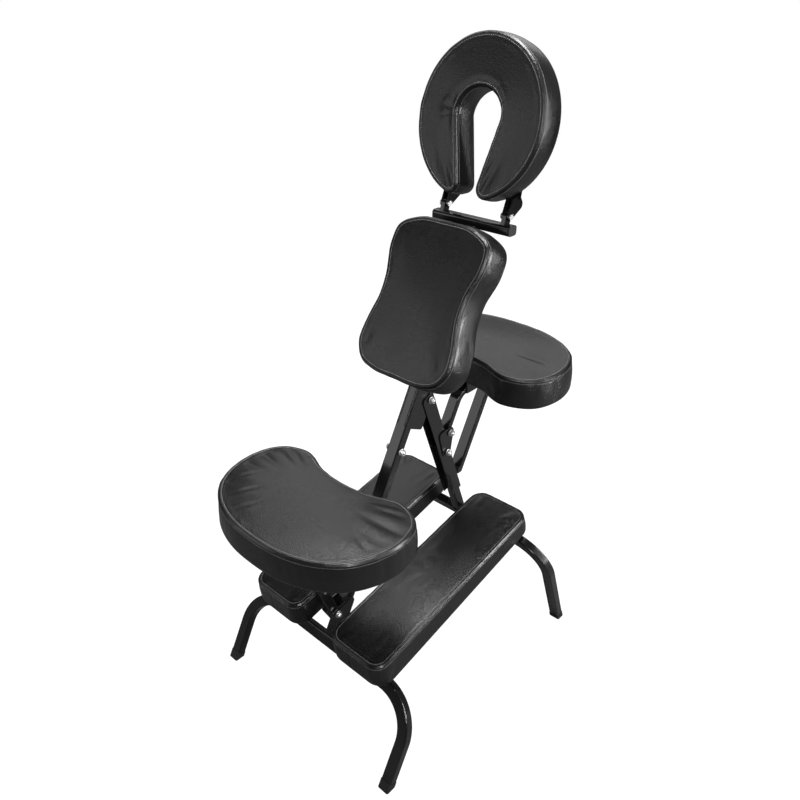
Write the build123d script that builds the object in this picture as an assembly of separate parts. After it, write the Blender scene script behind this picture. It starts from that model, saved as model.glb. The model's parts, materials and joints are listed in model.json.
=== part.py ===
from build123d import *
from math import asin, cos, radians, sin, tan
import os

# Folding kneeling massage chair, in millimetres, +Z up.
# The sitter faces +Y. +X is the sitter's right. Y = 0 lies midway between the feet.
# "s" is a distance along a leaning tube and "off" a distance square to it.

# ---- driving dimensions -------------------------------------------------------
MIDDLE_Y = 7.2            # middle of the whole chair, moved to the origin
FOOT_X = 243.0            # feet, from the middle
FRONT_Y, REAR_Y = -311.0, 310.0          # front and rear feet
MAST_LEAN = 28.0          # front frame leans towards +Y, degrees
STRUT_LEAN = -20.6        # rear frame leans back towards -Y
LEG_WIDE, LEG_DEEP, LEG_BEND = 25.0, 20.0, 85.0
FRONT_BAR_S, REAR_BAR_S = 180.0, 280.0
TUBE_WIDE, TUBE_DEEP, WALL = 28.0, 21.0, 1.5     # mast
MAST_TOP_S = 1045.0
BOLT_R, BOLT_HOLE_R = 4.0, 4.06
PLATE = 3.0
FIT = 0.5                 # side gap of a part that swings in a fork

STRUT_TOP_S, STRUT_TAIL = 674.0, 12.0
STRUT_WIDE, STRUT_DEEP, STRUT_TUBE_TOP = 21.0, 22.5, 530.0
CHANNEL_WIDE, CHANNEL_WALL, CHANNEL_FOOT_S = 26.0, 2.5, 368.0
CHANNEL_BACK, CHANNEL_LIP = -12.5, 20.5
BRACKET_WIDE = 20.0
ARM_PIVOT_S, ARM_PIVOT_OFF, ARM_BOLT_S = 549.0, -23.5, 507.0
ARM_WIDE, ARM_DEEP, ARM_TAIL = 25.0, 14.0, 7.0
ARM_LEVEL_Z, ARM_END_Y, ARM_BEND = 602.0, 268.0, 32.0
PROP_WIDE, PROP_DEEP, PROP_Y, PROP_Z, PROP_FOOT_Z = 28.0, 15.0, 188.2, 397.0, 391.0
PROP_CAP = 14.0

REST_Y, REST_Z = 283.5, 630.0         # armrest pad: middle and underside
SEAT_Y, SEAT_Z = -269.0, 485.0        # seat pad: middle and underside
KIDNEY_BOARD, KIDNEY_SOFT = 10.0, 60.0
KIDNEY_HALF = [(0, 96), (62, 103), (135, 126), (190, 98), (208, 46), (204, -4),
               (178, -58), (139, -92), (70, -119), (0, -125)]

POST_LEAN = -21.0
POST_Y, POST_Z = -217.0, 243.0        # seat post pivot
POST_WIDE, POST_TAIL, POST_TOP = 27.0, 10.0, 215.0
STAY_ARM, STAY_SWING = 90.0, 15.0     # pivot to stay at each end, and fold angle
STEM_GAP = 0.3
SEAT_STEM_FOOT = 102.0

CHEST_S, CHEST_BACK, CHEST_BOARD, CHEST_FRONT = 922.0, 21.0, 9.0, 91.0
CHEST_HALF = [(0, 158), (70, 153), (111, 129), (115, 92), (101, 28), (101, -10),
              (115, -75), (116, -113), (96, -144), (60, -156), (0, -157)]
SLEEVE_LONG, SLEEVE_WALL = 90.0, 2.5

CROSS_Y, CROSS_Z, CROSS_LONG, CROSS_DEEP, CROSS_TALL = 206.9, 974.0, 190.0, 25.0, 20.0
STEM_FOOT_S = 870.0
CRADLE_Y, CRADLE_Z, CRADLE_LEAN, HINGE_X = 213.0, 997.0, 12.0, 75.0
CRADLE_R, CRADLE_TALL, CRADLE_MID = 142.0, 148.0, 165.0       # half width, half height, middle
HOLE_R, HOLE_MID, THROAT, TIP_R = 51.0, 170.0, 22.0, 20.0
CRADLE_FRONT, CRADLE_BACK, CRADLE_BOARD = 49.0, -7.0, 8.0

PAD_TILT, PAD_Y, PAD_Z = 10.8, -277.0, 253.0      # near end of the top seam
PAD_IN, PAD_OUT, PAD_LONG, PAD_CORNER = 48.0, 190.0, 501.0, 30.0
PAD_THICK, PAD_BOARD, PAD_CROWN = 62.0, 8.0, 4.0           # thick at the near end
PAD_TAPER = 1.95                                  # underside against top, degrees
KNEE_AXIS_Y, KNEE_AXIS_Z = 34.0, -14.0            # hinge, from the underside's near end
KNEE_HINGE_WIDE = 36.0


# ---- helpers ------------------------------------------------------------------
def lean_plane(y, z, lean):
    """Plane whose local Y climbs at the lean, local X is X, local Z faces -Y."""
    a = radians(lean)
    return Plane(origin=(0, y, z), x_dir=(1, 0, 0), z_dir=(0, -cos(a), sin(a)))


MAST = lean_plane(FRONT_Y, 0, MAST_LEAN)
STRUT = lean_plane(REAR_Y, 0, STRUT_LEAN)
POST = lean_plane(POST_Y, POST_Z, POST_LEAN)
CRADLE = lean_plane(CRADLE_Y, CRADLE_Z, CRADLE_LEAN)
PAD = Plane(origin=(0, PAD_Y, PAD_Z), x_dir=(1, 0, 0),
            z_dir=(0, -sin(radians(PAD_TILT)), cos(radians(PAD_TILT))))
UNDER_TILT = radians(PAD_TILT + PAD_TAPER)
UNDER = Plane(origin=PAD.from_local_coords(Vector(0, 0, -PAD_THICK)), x_dir=(1, 0, 0),
              z_dir=(0, -sin(UNDER_TILT), cos(UNDER_TILT)))
SIDEWAYS = Plane(origin=(0, 0, 0), x_dir=(0, 1, 0), z_dir=(1, 0, 0))


def solid_tube(wide, deep, start, end, radius):
    """Bar along local Y with rounded edges."""
    bar = extrude(RectangleRounded(wide, deep, radius), end - start)
    return Pos(0, start, 0) * Rot(-90, 0, 0) * bar


def box_tube(wide, deep, start, end, radius=3.0, wall=WALL):
    """Rectangular steel tube along local Y."""
    core = solid_tube(wide - 2 * wall, deep - 2 * wall, start - 1, end + 1, radius - wall)
    return solid_tube(wide, deep, start, end, radius) - core


def cross_rod(radius, length, y=0.0, z=0.0, x=0.0):
    """Round rod along X, centred on x."""
    return Pos(x, y, z) * Rot(0, 90, 0) * Cylinder(radius, length)


def block(wide, low, high, floor, top):
    """Box centred on X, between two local Y and two local Z values."""
    return Pos(0, (low + high) / 2, (floor + top) / 2) * Box(wide, high - low, top - floor)


def side_plate(outline, x, thick=PLATE):
    """Plate square to X, its outline given in local (y, z)."""
    flat = extrude(outline, thick / 2, both=True)
    return Pos(x, 0, 0) * (SIDEWAYS * flat)


def disc(y, z, radius):
    return Pos(y, z) * Circle(radius)


def link_outline(*rounds):
    """Hull of discs: the shape of a forged or stamped link."""
    return make_hull([disc(*r).edge() for r in rounds])


def hex_bolt(plane, y, z, grip, x=0.0):
    """Bolt along X with a round head at -X, washers and a nut at +X."""
    shank = cross_rod(BOLT_R, 2 * grip + 18, y, z, x + 1)
    head = cross_rod(7.0, 4.4, y, z, x - grip - 3.9)
    washers = [cross_rod(8.0, 1.4, y, z, x + side * (grip + 1.0)) for side in (-1, 1)]
    nut = Pos(x + grip + 5.0, y, z) * Rot(0, 90, 0) * extrude(RegularPolygon(7.2, 6), 3.3, both=True)
    bolt = shank + head + washers[0] + washers[1] + nut
    return plane * bolt


def knob(plane, x, y, tip, reach):
    """Clamp screw along local -Z: a stud, a collar and a lobed grip."""
    stud = Pos(x, y, (tip + reach) / 2) * Cylinder(BOLT_R, abs(reach - tip))
    collar = Pos(x, y, reach - 3) * Cylinder(9.0, 6.0)
    grip = Pos(x, y, reach - 14) * Cylinder(19.0, 16.0)
    for turn in range(6):
        flute = Rot(0, 0, 60 * turn) * Pos(23.0, 0, 0) * Cylinder(6.5, 20.0)
        grip = grip - Pos(x, y, reach - 14) * flute
    return plane * (stud + collar + grip)


def mirrored(points):
    """Closed outline from its +X half, listed top to bottom."""
    return points + [(-x, y) for x, y in reversed(points[1:-1])]


def soft_face(points):
    return make_face(Spline(*mirrored(points), periodic=True))


def save(name, shape):
    export_step(Pos(0, -MIDDLE_Y, 0) * shape, "parts/" + name + ".step")
    print(name, round(shape.volume))


# ---- front frame --------------------------------------------------------------
def leg_bar(bar_s):
    """One tube bent into two legs and a crossbar, open at both feet."""
    ends = [(-FOOT_X, -20), (-FOOT_X, bar_s), (FOOT_X, bar_s), (FOOT_X, -20)]
    route = FilletPolyline(*ends, radius=LEG_BEND)
    start = Plane(origin=(-FOOT_X, -20, 0), x_dir=(1, 0, 0), z_dir=(0, 1, 0))
    outer = sweep(start * RectangleRounded(LEG_WIDE, LEG_DEEP, 3.0), path=route)
    inner = sweep(start * RectangleRounded(LEG_WIDE - 2 * WALL, LEG_DEEP - 2 * WALL, 1.5), path=route)
    return outer - inner


def above_floor(shape, floor):
    return shape - Pos(0, 0, floor - 200) * Box(2000, 3000, 400)


def foot(plane, side):
    """Rubber foot round the tube's end, cut level with the floor."""
    cup = Pos(side * FOOT_X, 0, 0) * solid_tube(LEG_WIDE + 2, LEG_DEEP + 2, -25, 14, 3.6)
    cup = above_floor(plane * cup, 0)
    bore = Pos(side * FOOT_X, 0, 0) * solid_tube(LEG_WIDE, LEG_DEEP, -25, 30, 3.0)
    return cup - above_floor(plane * bore, 4)


def front_leg_bar():
    return above_floor(MAST * leg_bar(FRONT_BAR_S), 4)


def mast_bolt_s(z):
    return z / cos(radians(MAST_LEAN))


MAST_FOOT_S = FRONT_BAR_S + LEG_WIDE / 2
STOP_S = mast_bolt_s(547.0)
KNOB_S, CHEST_KNOB_S = 1012.0, CHEST_S - 20


def world_of(plane, y, z):
    return plane.from_local_coords(Vector(0, y, z))


def local_of(plane, point):
    spot = plane.to_local_coords(point)
    return spot.Y, spot.Z


STRUT_Y, STRUT_OFF = local_of(MAST, world_of(STRUT, STRUT_TOP_S, 0))
PIVOT_Y, PIVOT_OFF = local_of(MAST, Vector(0, POST_Y, POST_Z))
STAY_S = PIVOT_Y + (STAY_ARM ** 2 - PIVOT_OFF ** 2) ** 0.5
STAY_NEAR = world_of(MAST, STAY_S, 0)
STAY_FAR = world_of(POST, STAY_ARM, 0)


def mast_tube():
    tube = box_tube(TUBE_WIDE, TUBE_DEEP, MAST_FOOT_S, MAST_TOP_S)
    for s in (STOP_S, STAY_S):
        tube = tube - cross_rod(BOLT_HOLE_R, 60, s)
    tube = tube - Pos(0, KNOB_S, -15) * Cylinder(BOLT_HOLE_R, 20)
    return MAST * tube


def strut_bracket():
    """Channel welded to the back of the mast, inside the strut's own channel."""
    fork = block(BRACKET_WIDE, 669, 760, -TUBE_DEEP / 2 - PLATE, -TUBE_DEEP / 2)
    outline = link_outline((672, -TUBE_DEEP / 2 - 3, 3), (757, -TUBE_DEEP / 2 - 3, 3),
                           (STRUT_Y, STRUT_OFF, 9), (675, STRUT_OFF - 4, 5))
    for side in (-1, 1):
        fork = fork + side_plate(outline, side * (BRACKET_WIDE - PLATE) / 2)
    return MAST * (fork - cross_rod(BOLT_HOLE_R, 60, STRUT_Y, STRUT_OFF))


def seat_bracket():
    """Two cheeks welded to the sides of the mast, carrying the seat post's pin."""
    outline = link_outline((PIVOT_Y - 24, 0, 11), (PIVOT_Y + 22, 0, 11), (PIVOT_Y, PIVOT_OFF, 13))
    cheeks = Part()
    for side in (-1, 1):
        cheeks = cheeks + side_plate(outline, side * (TUBE_WIDE / 2 + PLATE / 2))
    return MAST * (cheeks - cross_rod(BOLT_HOLE_R, 60, PIVOT_Y, PIVOT_OFF))


def knee_hinge_x(side):
    return side * (PAD_IN + PAD_OUT) / 2


def knee_lugs():
    """Lugs welded on the crossbar that the knee pads hinge on."""
    bar = world_of(MAST, FRONT_BAR_S, 0)
    bar_y, bar_z = local_of(UNDER, bar)
    outline = link_outline((KNEE_AXIS_Y, KNEE_AXIS_Z, 9), (bar_y, bar_z + 4, 9))
    lugs = Part()
    for side in (-1, 1):
        for end in (-1, 1):
            x = knee_hinge_x(side) + end * (KNEE_HINGE_WIDE / 2 - PLATE - FIT - 2)
            lugs = lugs + side_plate(outline, x, 4.0)
    lugs = UNDER * (lugs - cross_rod(BOLT_HOLE_R, 500, KNEE_AXIS_Y, KNEE_AXIS_Z))
    bar_solid = MAST * Pos(0, FRONT_BAR_S, 0) * Box(500, LEG_WIDE, LEG_DEEP)
    return lugs - bar_solid


def mast_sleeve():
    """Plastic bush in the mast's mouth that guides the headrest stem."""
    outer = solid_tube(TUBE_WIDE + 4, TUBE_DEEP + 4, MAST_TOP_S - 12, MAST_TOP_S + 4, 4.0)
    shell = solid_tube(TUBE_WIDE, TUBE_DEEP, MAST_TOP_S - 13, MAST_TOP_S, 3.0)
    bore = solid_tube(*STEM_SIZE_BORE, MAST_TOP_S - 20, MAST_TOP_S + 10, 1.8)
    return MAST * (outer - shell - bore)


STEM_WIDE = TUBE_WIDE - 2 * WALL - 2 * STEM_GAP
STEM_DEEP = TUBE_DEEP - 2 * WALL - 2 * STEM_GAP
STEM_SIZE_BORE = (STEM_WIDE + 2 * STEM_GAP, STEM_DEEP + 2 * STEM_GAP)


# ---- rear frame ---------------------------------------------------------------
def rear_leg_bar():
    return above_floor(STRUT * leg_bar(REAR_BAR_S), 4)


def strut_section_middle():
    return CHANNEL_BACK + CHANNEL_WALL + STRUT_DEEP / 2


def rear_strut():
    """Lower tube of the strut, pushed up into the channel."""
    tube = box_tube(STRUT_WIDE, STRUT_DEEP, REAR_BAR_S + LEG_WIDE / 2, STRUT_TUBE_TOP)
    tube = Pos(0, 0, strut_section_middle()) * tube
    return STRUT * (tube - cross_rod(BOLT_HOLE_R, 60, ARM_BOLT_S))


def strut_channel():
    """Channel round the tube, open towards the mast, that folds over the mast's bracket."""
    top = STRUT_TOP_S + STRUT_TAIL
    outer = block(CHANNEL_WIDE, CHANNEL_FOOT_S, top, CHANNEL_BACK, CHANNEL_LIP)
    inner = block(STRUT_WIDE, CHANNEL_FOOT_S - 1, top + 1, CHANNEL_BACK + CHANNEL_WALL, CHANNEL_LIP + 1)
    channel = outer - inner
    corners = channel.edges().filter_by(Axis.X).sort_by(Axis.Y)[-4:]
    lips = [edge for edge in corners if edge.center().Z > CHANNEL_LIP - 1]
    channel = fillet(lips, 9.0)
    for s in (STRUT_TOP_S, ARM_BOLT_S):
        channel = channel - cross_rod(BOLT_HOLE_R, 60, s)
    return STRUT * channel


def arm_bracket():
    """Eared cheeks bolted to the sides of the strut's channel, the fork for the armrest."""
    ears = Part()
    outline = link_outline((ARM_BOLT_S, 0, 12.5), (ARM_PIVOT_S + 8, -2, 10.5), (ARM_PIVOT_S, ARM_PIVOT_OFF, 13))
    for side in (-1, 1):
        ears = ears + side_plate(outline, side * (CHANNEL_WIDE / 2 + PLATE / 2))
    for s, off in ((ARM_BOLT_S, 0), (ARM_PIVOT_S, ARM_PIVOT_OFF)):
        ears = ears - cross_rod(BOLT_HOLE_R, 60, s, off)
    return STRUT * ears


# ---- armrest ------------------------------------------------------------------
def armrest_arm():
    """Tube that climbs beside the strut and turns level under the armrest."""
    pivot = world_of(STRUT, ARM_PIVOT_S, ARM_PIVOT_OFF)
    rise = tan(radians(MAST_LEAN))
    foot_y = pivot.Y - ARM_TAIL * sin(radians(MAST_LEAN))
    foot_z = pivot.Z - ARM_TAIL * cos(radians(MAST_LEAN))
    knee_y = pivot.Y + (ARM_LEVEL_Z - pivot.Z) * rise
    route = FilletPolyline((0, foot_y, foot_z), (0, knee_y, ARM_LEVEL_Z), (0, ARM_END_Y, ARM_LEVEL_Z), radius=ARM_BEND)
    start = lean_plane(foot_y, foot_z, MAST_LEAN)
    section_plane = Plane(origin=start.origin, x_dir=(1, 0, 0), z_dir=start.y_dir)
    outer = sweep(section_plane * RectangleRounded(ARM_WIDE, ARM_DEEP, 2.5), path=route)
    inner = sweep(section_plane * RectangleRounded(ARM_WIDE - 3, ARM_DEEP - 3, 1.0), path=route)
    return outer - inner - cross_rod(BOLT_HOLE_R, 60, pivot.Y, pivot.Z)


def prop_plane():
    return lean_plane(PROP_Y, PROP_Z, MAST_LEAN)


def below(shape, z):
    return shape - Pos(0, 0, z + 200) * Box(2000, 3000, 400)


def armrest_prop():
    tube = prop_plane() * box_tube(PROP_WIDE, PROP_DEEP, -30, 320)
    return below(above_floor(tube, PROP_FOOT_Z + PROP_CAP), REST_Z - 4)


def armrest_prop_cap():
    cap = prop_plane() * solid_tube(PROP_WIDE, PROP_DEEP, -30, 60, 3.0)
    return below(above_floor(cap, PROP_FOOT_Z), PROP_FOOT_Z + PROP_CAP)


def armrest_mount():
    """Plate under the armrest with two ribs that hold the arm."""
    plate = block(110, 190, 350, REST_Z - 4, REST_Z)
    for side in (-1, 1):
        rib = block(PLATE, 196, 262, ARM_LEVEL_Z - 6, REST_Z - 4)
        rib = Pos(side * (ARM_WIDE + PLATE) / 2, 0, 0) * rib
        plate = plate + rib
    return plate


def kidney(level, thick, inset=0.0, flip=1):
    """Bean-shaped slab: concave edge towards the sitter's chest side."""
    face = soft_face(KIDNEY_HALF)
    if inset:
        face = scale(face, by=1 - inset / 200)
    slab = extrude(face, thick)
    if flip < 0:
        slab = mirror(slab, about=Plane.XZ)
    return Pos(0, 0, level) * slab


# ---- chest pad ----------------------------------------------------------------
def chest_sleeve():
    """Square sleeve that slides on the mast, with the plate the pad screws to."""
    low, high = CHEST_S - SLEEVE_LONG / 2, CHEST_S + SLEEVE_LONG / 2
    bore = solid_tube(TUBE_WIDE + 0.6, TUBE_DEEP + 0.6, low - 5, high + 5, 3.3)
    sleeve = solid_tube(TUBE_WIDE + 2 * SLEEVE_WALL, TUBE_DEEP + 2 * SLEEVE_WALL, low, high, 4.0)
    spacer = block(30, low + 8, high - 8, TUBE_DEEP / 2 + 1, CHEST_BACK - 3)
    plate = block(120, CHEST_S - 75, CHEST_S + 75, CHEST_BACK - 3, CHEST_BACK)
    boss = Pos(0, CHEST_KNOB_S, -TUBE_DEEP / 2 - 6) * Cylinder(9, 9)
    body = sleeve + spacer + plate + boss - bore
    return MAST * (body - Pos(0, CHEST_KNOB_S, -20) * Cylinder(BOLT_HOLE_R, 22))


def chest_slab(back, front):
    return MAST * Pos(0, CHEST_S, back) * extrude(soft_face(CHEST_HALF), front - back)


# ---- headrest -----------------------------------------------------------------
def cross_section(grow=0.0):
    return RectangleRounded(CROSS_DEEP + grow, CROSS_TALL + grow, 6.0)


def along_x(face, length):
    bar = extrude(face, length / 2, both=True)
    return Pos(0, CROSS_Y, CROSS_Z) * (SIDEWAYS * bar)


def cross_tube():
    shell = along_x(cross_section(), CROSS_LONG - 6)
    return shell - along_x(cross_section(-2 * WALL), CROSS_LONG)


def cross_caps():
    whole = along_x(cross_section(), CROSS_LONG)
    return whole - along_x(Rectangle(60, 60), CROSS_LONG - 6)


def headrest_stem():
    top_s = local_of(MAST, Vector(0, CROSS_Y, CROSS_Z))[0]
    tube = MAST * box_tube(STEM_WIDE, STEM_DEEP, STEM_FOOT_S, top_s, 1.8)
    return tube - along_x(cross_section(), CROSS_LONG)


def cradle_lugs():
    """Centre lugs on the cross tube, one for each cradle hinge."""
    lugs = Part()
    outline = link_outline((CRADLE_Y, CRADLE_Z, 9), (CROSS_Y, CROSS_Z + 6, 9))
    for side in (-1, 1):
        lugs = lugs + side_plate(outline, side * HINGE_X, 9.0)
    lugs = lugs - cross_rod(BOLT_HOLE_R, 300, CRADLE_Y, CRADLE_Z)
    return lugs - along_x(cross_section(), CROSS_LONG)


def cradle_bolts():
    bolts = Part()
    for side in (-1, 1):
        x = side * HINGE_X
        shank = cross_rod(BOLT_R, 21, CRADLE_Y, CRADLE_Z, x)
        caps = [cross_rod(6.0, 3.0, CRADLE_Y, CRADLE_Z, x + end * 9.9) for end in (-1, 1)]
        bolts = bolts + shank + caps[0] + caps[1]
    return bolts


def cradle_cheeks(side):
    """Folded hinge plate: a narrow web in front and two rounded cheeks behind."""
    outline = link_outline((0, 0, 7.5), (24, -24, 10), (38, CRADLE_BACK - CRADLE_BOARD - 4, 4), (30, -2, 4))
    plate = Part()
    for end in (-1, 1):
        plate = plate + side_plate(outline, side * HINGE_X + end * 6.75, 2.5)
    flange = Pos(side * HINGE_X, 34 + 18, CRADLE_BACK - CRADLE_BOARD - 1.5) * Box(24, 36, 3.0)
    plate = plate + flange - cross_rod(BOLT_HOLE_R, 60, 0, 0, side * HINGE_X)
    soft = Pos(0, CRADLE_MID, CRADLE_BACK - CRADLE_BOARD) * extrude(Ellipse(CRADLE_R + 1, CRADLE_TALL + 1), 70)
    return CRADLE * (plate - soft)


def cradle_face():
    """Horseshoe outline, open downwards."""
    ring = Pos(0, CRADLE_MID) * Ellipse(CRADLE_R, CRADLE_TALL)
    hole = Pos(0, HOLE_MID) * Circle(HOLE_R)
    low = CRADLE_MID - CRADLE_TALL - 12
    throat = make_face(Polyline((-HOLE_R, HOLE_MID), (HOLE_R, HOLE_MID), (THROAT, 50),
                                (THROAT, low), (-THROAT, low), (-THROAT, 50), close=True))
    shoe = ring - hole - throat
    tips = shoe.vertices().sort_by(Axis.Y)[:2]
    return fillet(tips, TIP_R)


def cradle_slab(back, front):
    return CRADLE * Pos(0, 0, back) * extrude(cradle_face(), front - back)


# ---- seat ---------------------------------------------------------------------
def seat_post():
    tube = box_tube(POST_WIDE, TUBE_DEEP, -POST_TAIL, POST_TOP)
    for s in (0, STAY_ARM):
        tube = tube - cross_rod(BOLT_HOLE_R, 60, s)
    boss = tube + Pos(0, POST_TOP - 25, -TUBE_DEEP / 2 - 4) * Cylinder(9, 8.4)
    return POST * (boss - Pos(0, POST_TOP - 25, -TUBE_DEEP / 2) * Cylinder(BOLT_HOLE_R, 22))


def seat_stem():
    size = (POST_WIDE - 2 * WALL - 2 * STEM_GAP, STEM_DEEP)
    tube = POST * box_tube(*size, SEAT_STEM_FOOT, 300, 1.8)
    return below(tube, SEAT_Z - 4)


def seat_plate():
    """Steel plate between the stem and the seat board."""
    return Pos(0, SEAT_Y - 8, SEAT_Z - 2) * Box(150, 130, 4)


def stay_plane():
    """Frame of the slotted stay: origin at the mast pin, local Y towards the post."""
    along = STAY_FAR - STAY_NEAR
    return Plane(origin=STAY_NEAR, x_dir=(1, 0, 0), z_dir=Vector(1, 0, 0).cross(along.normalized()))


def stay_reach(swing):
    """Distance from mast pin to post pin when the post has swung in."""
    half_wedge = asin((STAY_FAR - STAY_NEAR).length / (2 * STAY_ARM))
    return 2 * STAY_ARM * sin(half_wedge - radians(swing) / 2)


def seat_stay():
    """Pair of flat bars with a slot for the post's pin."""
    far, near = stay_reach(0), stay_reach(STAY_SWING)
    bar = link_outline((0, 0, 10), (far, 0, 10))
    slot = link_outline((near - 1, 0, BOLT_HOLE_R + 0.2), (far, 0, BOLT_HOLE_R + 0.2))
    pair = Part()
    for side in (-1, 1):
        x = side * (TUBE_WIDE / 2 + PLATE + FIT + PLATE / 2)
        pair = pair + side_plate(bar - slot, x)
    return stay_plane() * (pair - cross_rod(BOLT_HOLE_R, 60))


# ---- knee pads ----------------------------------------------------------------
def knee_board(side):
    """Board parallel to the underside, which climbs a little faster than the top."""
    face = RectangleRounded(PAD_OUT - PAD_IN - 6, PAD_LONG - 6, PAD_CORNER - 3)
    return UNDER * Pos(knee_hinge_x(side), PAD_LONG / 2, 0) * extrude(face, PAD_BOARD)


def knee_cushion(side):
    face = RectangleRounded(PAD_OUT - PAD_IN, PAD_LONG, PAD_CORNER)
    floor = -PAD_THICK - 10
    slab = PAD * Pos(knee_hinge_x(side), PAD_LONG / 2, floor) * extrude(face, PAD_CROWN - floor)
    return slab - UNDER * Pos(0, PAD_LONG / 2, PAD_BOARD - 50) * Box(600, 900, 100)


def knee_channel(side):
    """Channel under the board that hinges on the crossbar's lugs."""
    x = knee_hinge_x(side)
    part = Pos(x, KNEE_AXIS_Y, -PLATE / 2) * Box(KNEE_HINGE_WIDE, 60, PLATE)
    outline = link_outline((KNEE_AXIS_Y - 24, -4, 4), (KNEE_AXIS_Y + 24, -4, 4),
                           (KNEE_AXIS_Y, KNEE_AXIS_Z, 9))
    for end in (-1, 1):
        part = part + side_plate(outline, x + end * (KNEE_HINGE_WIDE / 2 - PLATE / 2))
    return UNDER * (part - cross_rod(BOLT_HOLE_R, 60, KNEE_AXIS_Y, KNEE_AXIS_Z, x))


def knee_pin(side):
    x = knee_hinge_x(side)
    pin = cross_rod(BOLT_R, KNEE_HINGE_WIDE + 6, KNEE_AXIS_Y, KNEE_AXIS_Z, x)
    for end in (-1, 1):
        pin = pin + cross_rod(6.0, 2.5, KNEE_AXIS_Y, KNEE_AXIS_Z, x + end * (KNEE_HINGE_WIDE / 2 + 1.6))
    return UNDER * pin


def knee_saddle(side):
    """Hook under the board that drops over the rear crossbar."""
    x = knee_hinge_x(side)
    bar_y, bar_z = local_of(UNDER, world_of(STRUT, REAR_BAR_S, 0))
    blank = UNDER * Pos(x, 0, 0) * block(60, bar_y - 22, bar_y + 17, bar_z - 8, 0)
    room = Pos(0, REAR_BAR_S - 50 + LEG_WIDE / 2 + 0.5, 100 - LEG_DEEP / 2 - 0.5) * Box(600, 100, 200)
    core = UNDER * Pos(x, 0, 0) * block(52, bar_y - 18, bar_y + 9, bar_z + 18, -4)
    return blank - STRUT * room - core


# ---- write every piece ----------------------------------------------------------
os.makedirs("parts", exist_ok=True)
SIDES = (("left", -1), ("right", 1))

save("front_leg_bar", front_leg_bar())
save("mast_tube", mast_tube())
save("strut_bracket", strut_bracket())
save("seat_bracket", seat_bracket())
save("knee_hinge_lugs", knee_lugs())
save("mast_sleeve", mast_sleeve())
save("mast_stop_bolt", hex_bolt(MAST, STOP_S, 0, TUBE_WIDE / 2))
save("strut_pivot_bolt", hex_bolt(MAST, STRUT_Y, STRUT_OFF, CHANNEL_WIDE / 2))
save("seat_pivot_bolt", hex_bolt(MAST, PIVOT_Y, PIVOT_OFF, TUBE_WIDE / 2 + PLATE))
save("stay_pivot_bolt", hex_bolt(MAST, STAY_S, 0, TUBE_WIDE / 2 + 2 * PLATE + FIT))
save("headrest_knob", knob(MAST, 0, KNOB_S, -STEM_DEEP / 2 - 0.3, -TUBE_DEEP / 2 - 2))

save("rear_leg_bar", rear_leg_bar())
save("rear_strut", rear_strut())
save("strut_channel", strut_channel())
save("arm_bracket", arm_bracket())
save("arm_bracket_bolt", hex_bolt(STRUT, ARM_BOLT_S, 0, CHANNEL_WIDE / 2 + PLATE))
save("arm_pivot_bolt", hex_bolt(STRUT, ARM_PIVOT_S, ARM_PIVOT_OFF, CHANNEL_WIDE / 2 + PLATE))
for name, side in SIDES:
    save("front_foot_" + name, foot(MAST, side))
    save("rear_foot_" + name, foot(STRUT, side))

save("armrest_arm", armrest_arm())
save("armrest_prop", armrest_prop())
save("armrest_prop_cap", armrest_prop_cap())
save("armrest_mount", armrest_mount())
save("armrest_board", Pos(0, REST_Y, 0) * kidney(REST_Z, KIDNEY_BOARD, 3.0, -1))
save("armrest_cushion", Pos(0, REST_Y, 0) * kidney(REST_Z + KIDNEY_BOARD, KIDNEY_SOFT, 0, -1))

save("chest_sleeve", chest_sleeve())
save("chest_board", chest_slab(CHEST_BACK, CHEST_BACK + CHEST_BOARD))
save("chest_cushion", chest_slab(CHEST_BACK + CHEST_BOARD, CHEST_FRONT))
save("chest_knob", knob(MAST, 0, CHEST_KNOB_S, -TUBE_DEEP / 2 - 0.6, -TUBE_DEEP / 2 - 12.5))

save("headrest_stem", headrest_stem())
save("cross_tube", cross_tube())
save("cross_tube_caps", cross_caps())
save("cradle_lugs", cradle_lugs())
save("cradle_bolts", cradle_bolts())
for name, side in SIDES:
    save("cradle_hinge_" + name, cradle_cheeks(side))
save("cradle_board", cradle_slab(CRADLE_BACK - CRADLE_BOARD, CRADLE_BACK))
save("cradle_cushion", cradle_slab(CRADLE_BACK, CRADLE_FRONT))

save("seat_post", seat_post())
save("seat_stay_pin", POST * cross_rod(BOLT_R, 44, STAY_ARM))
save("seat_stem", seat_stem())
save("seat_plate", seat_plate())
save("seat_board", Pos(0, SEAT_Y, 0) * kidney(SEAT_Z, KIDNEY_BOARD, 3.0))
save("seat_cushion", Pos(0, SEAT_Y, 0) * kidney(SEAT_Z + KIDNEY_BOARD, KIDNEY_SOFT))
save("seat_knob", knob(POST, 0, POST_TOP - 25, -STEM_DEEP / 2 - 0.3, -TUBE_DEEP / 2 - 8.7))
save("seat_stay", seat_stay())

for name, side in SIDES:
    save("knee_board_" + name, knee_board(side))
    save("knee_cushion_" + name, knee_cushion(side))
    save("knee_channel_" + name, knee_channel(side))
    save("knee_pin_" + name, knee_pin(side))
    save("knee_saddle_" + name, knee_saddle(side))
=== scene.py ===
# %% [markdown]
# # A folding kneeling massage chair
# The steel frame, its hinges and its boards come from a CAD model and stay as they are.
# This lesson adds what a CAD program draws badly: stuffed pads with crowned tops, sewn
# seams and creases, paint and plating, and the small fittings that hold the chair together.
# Every length below is in metres, +Z is up and the sitter faces +Y.

# %% Load the frame
import json
import math
import bpy
import numpy as np
from mathutils import Matrix, Vector


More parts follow.
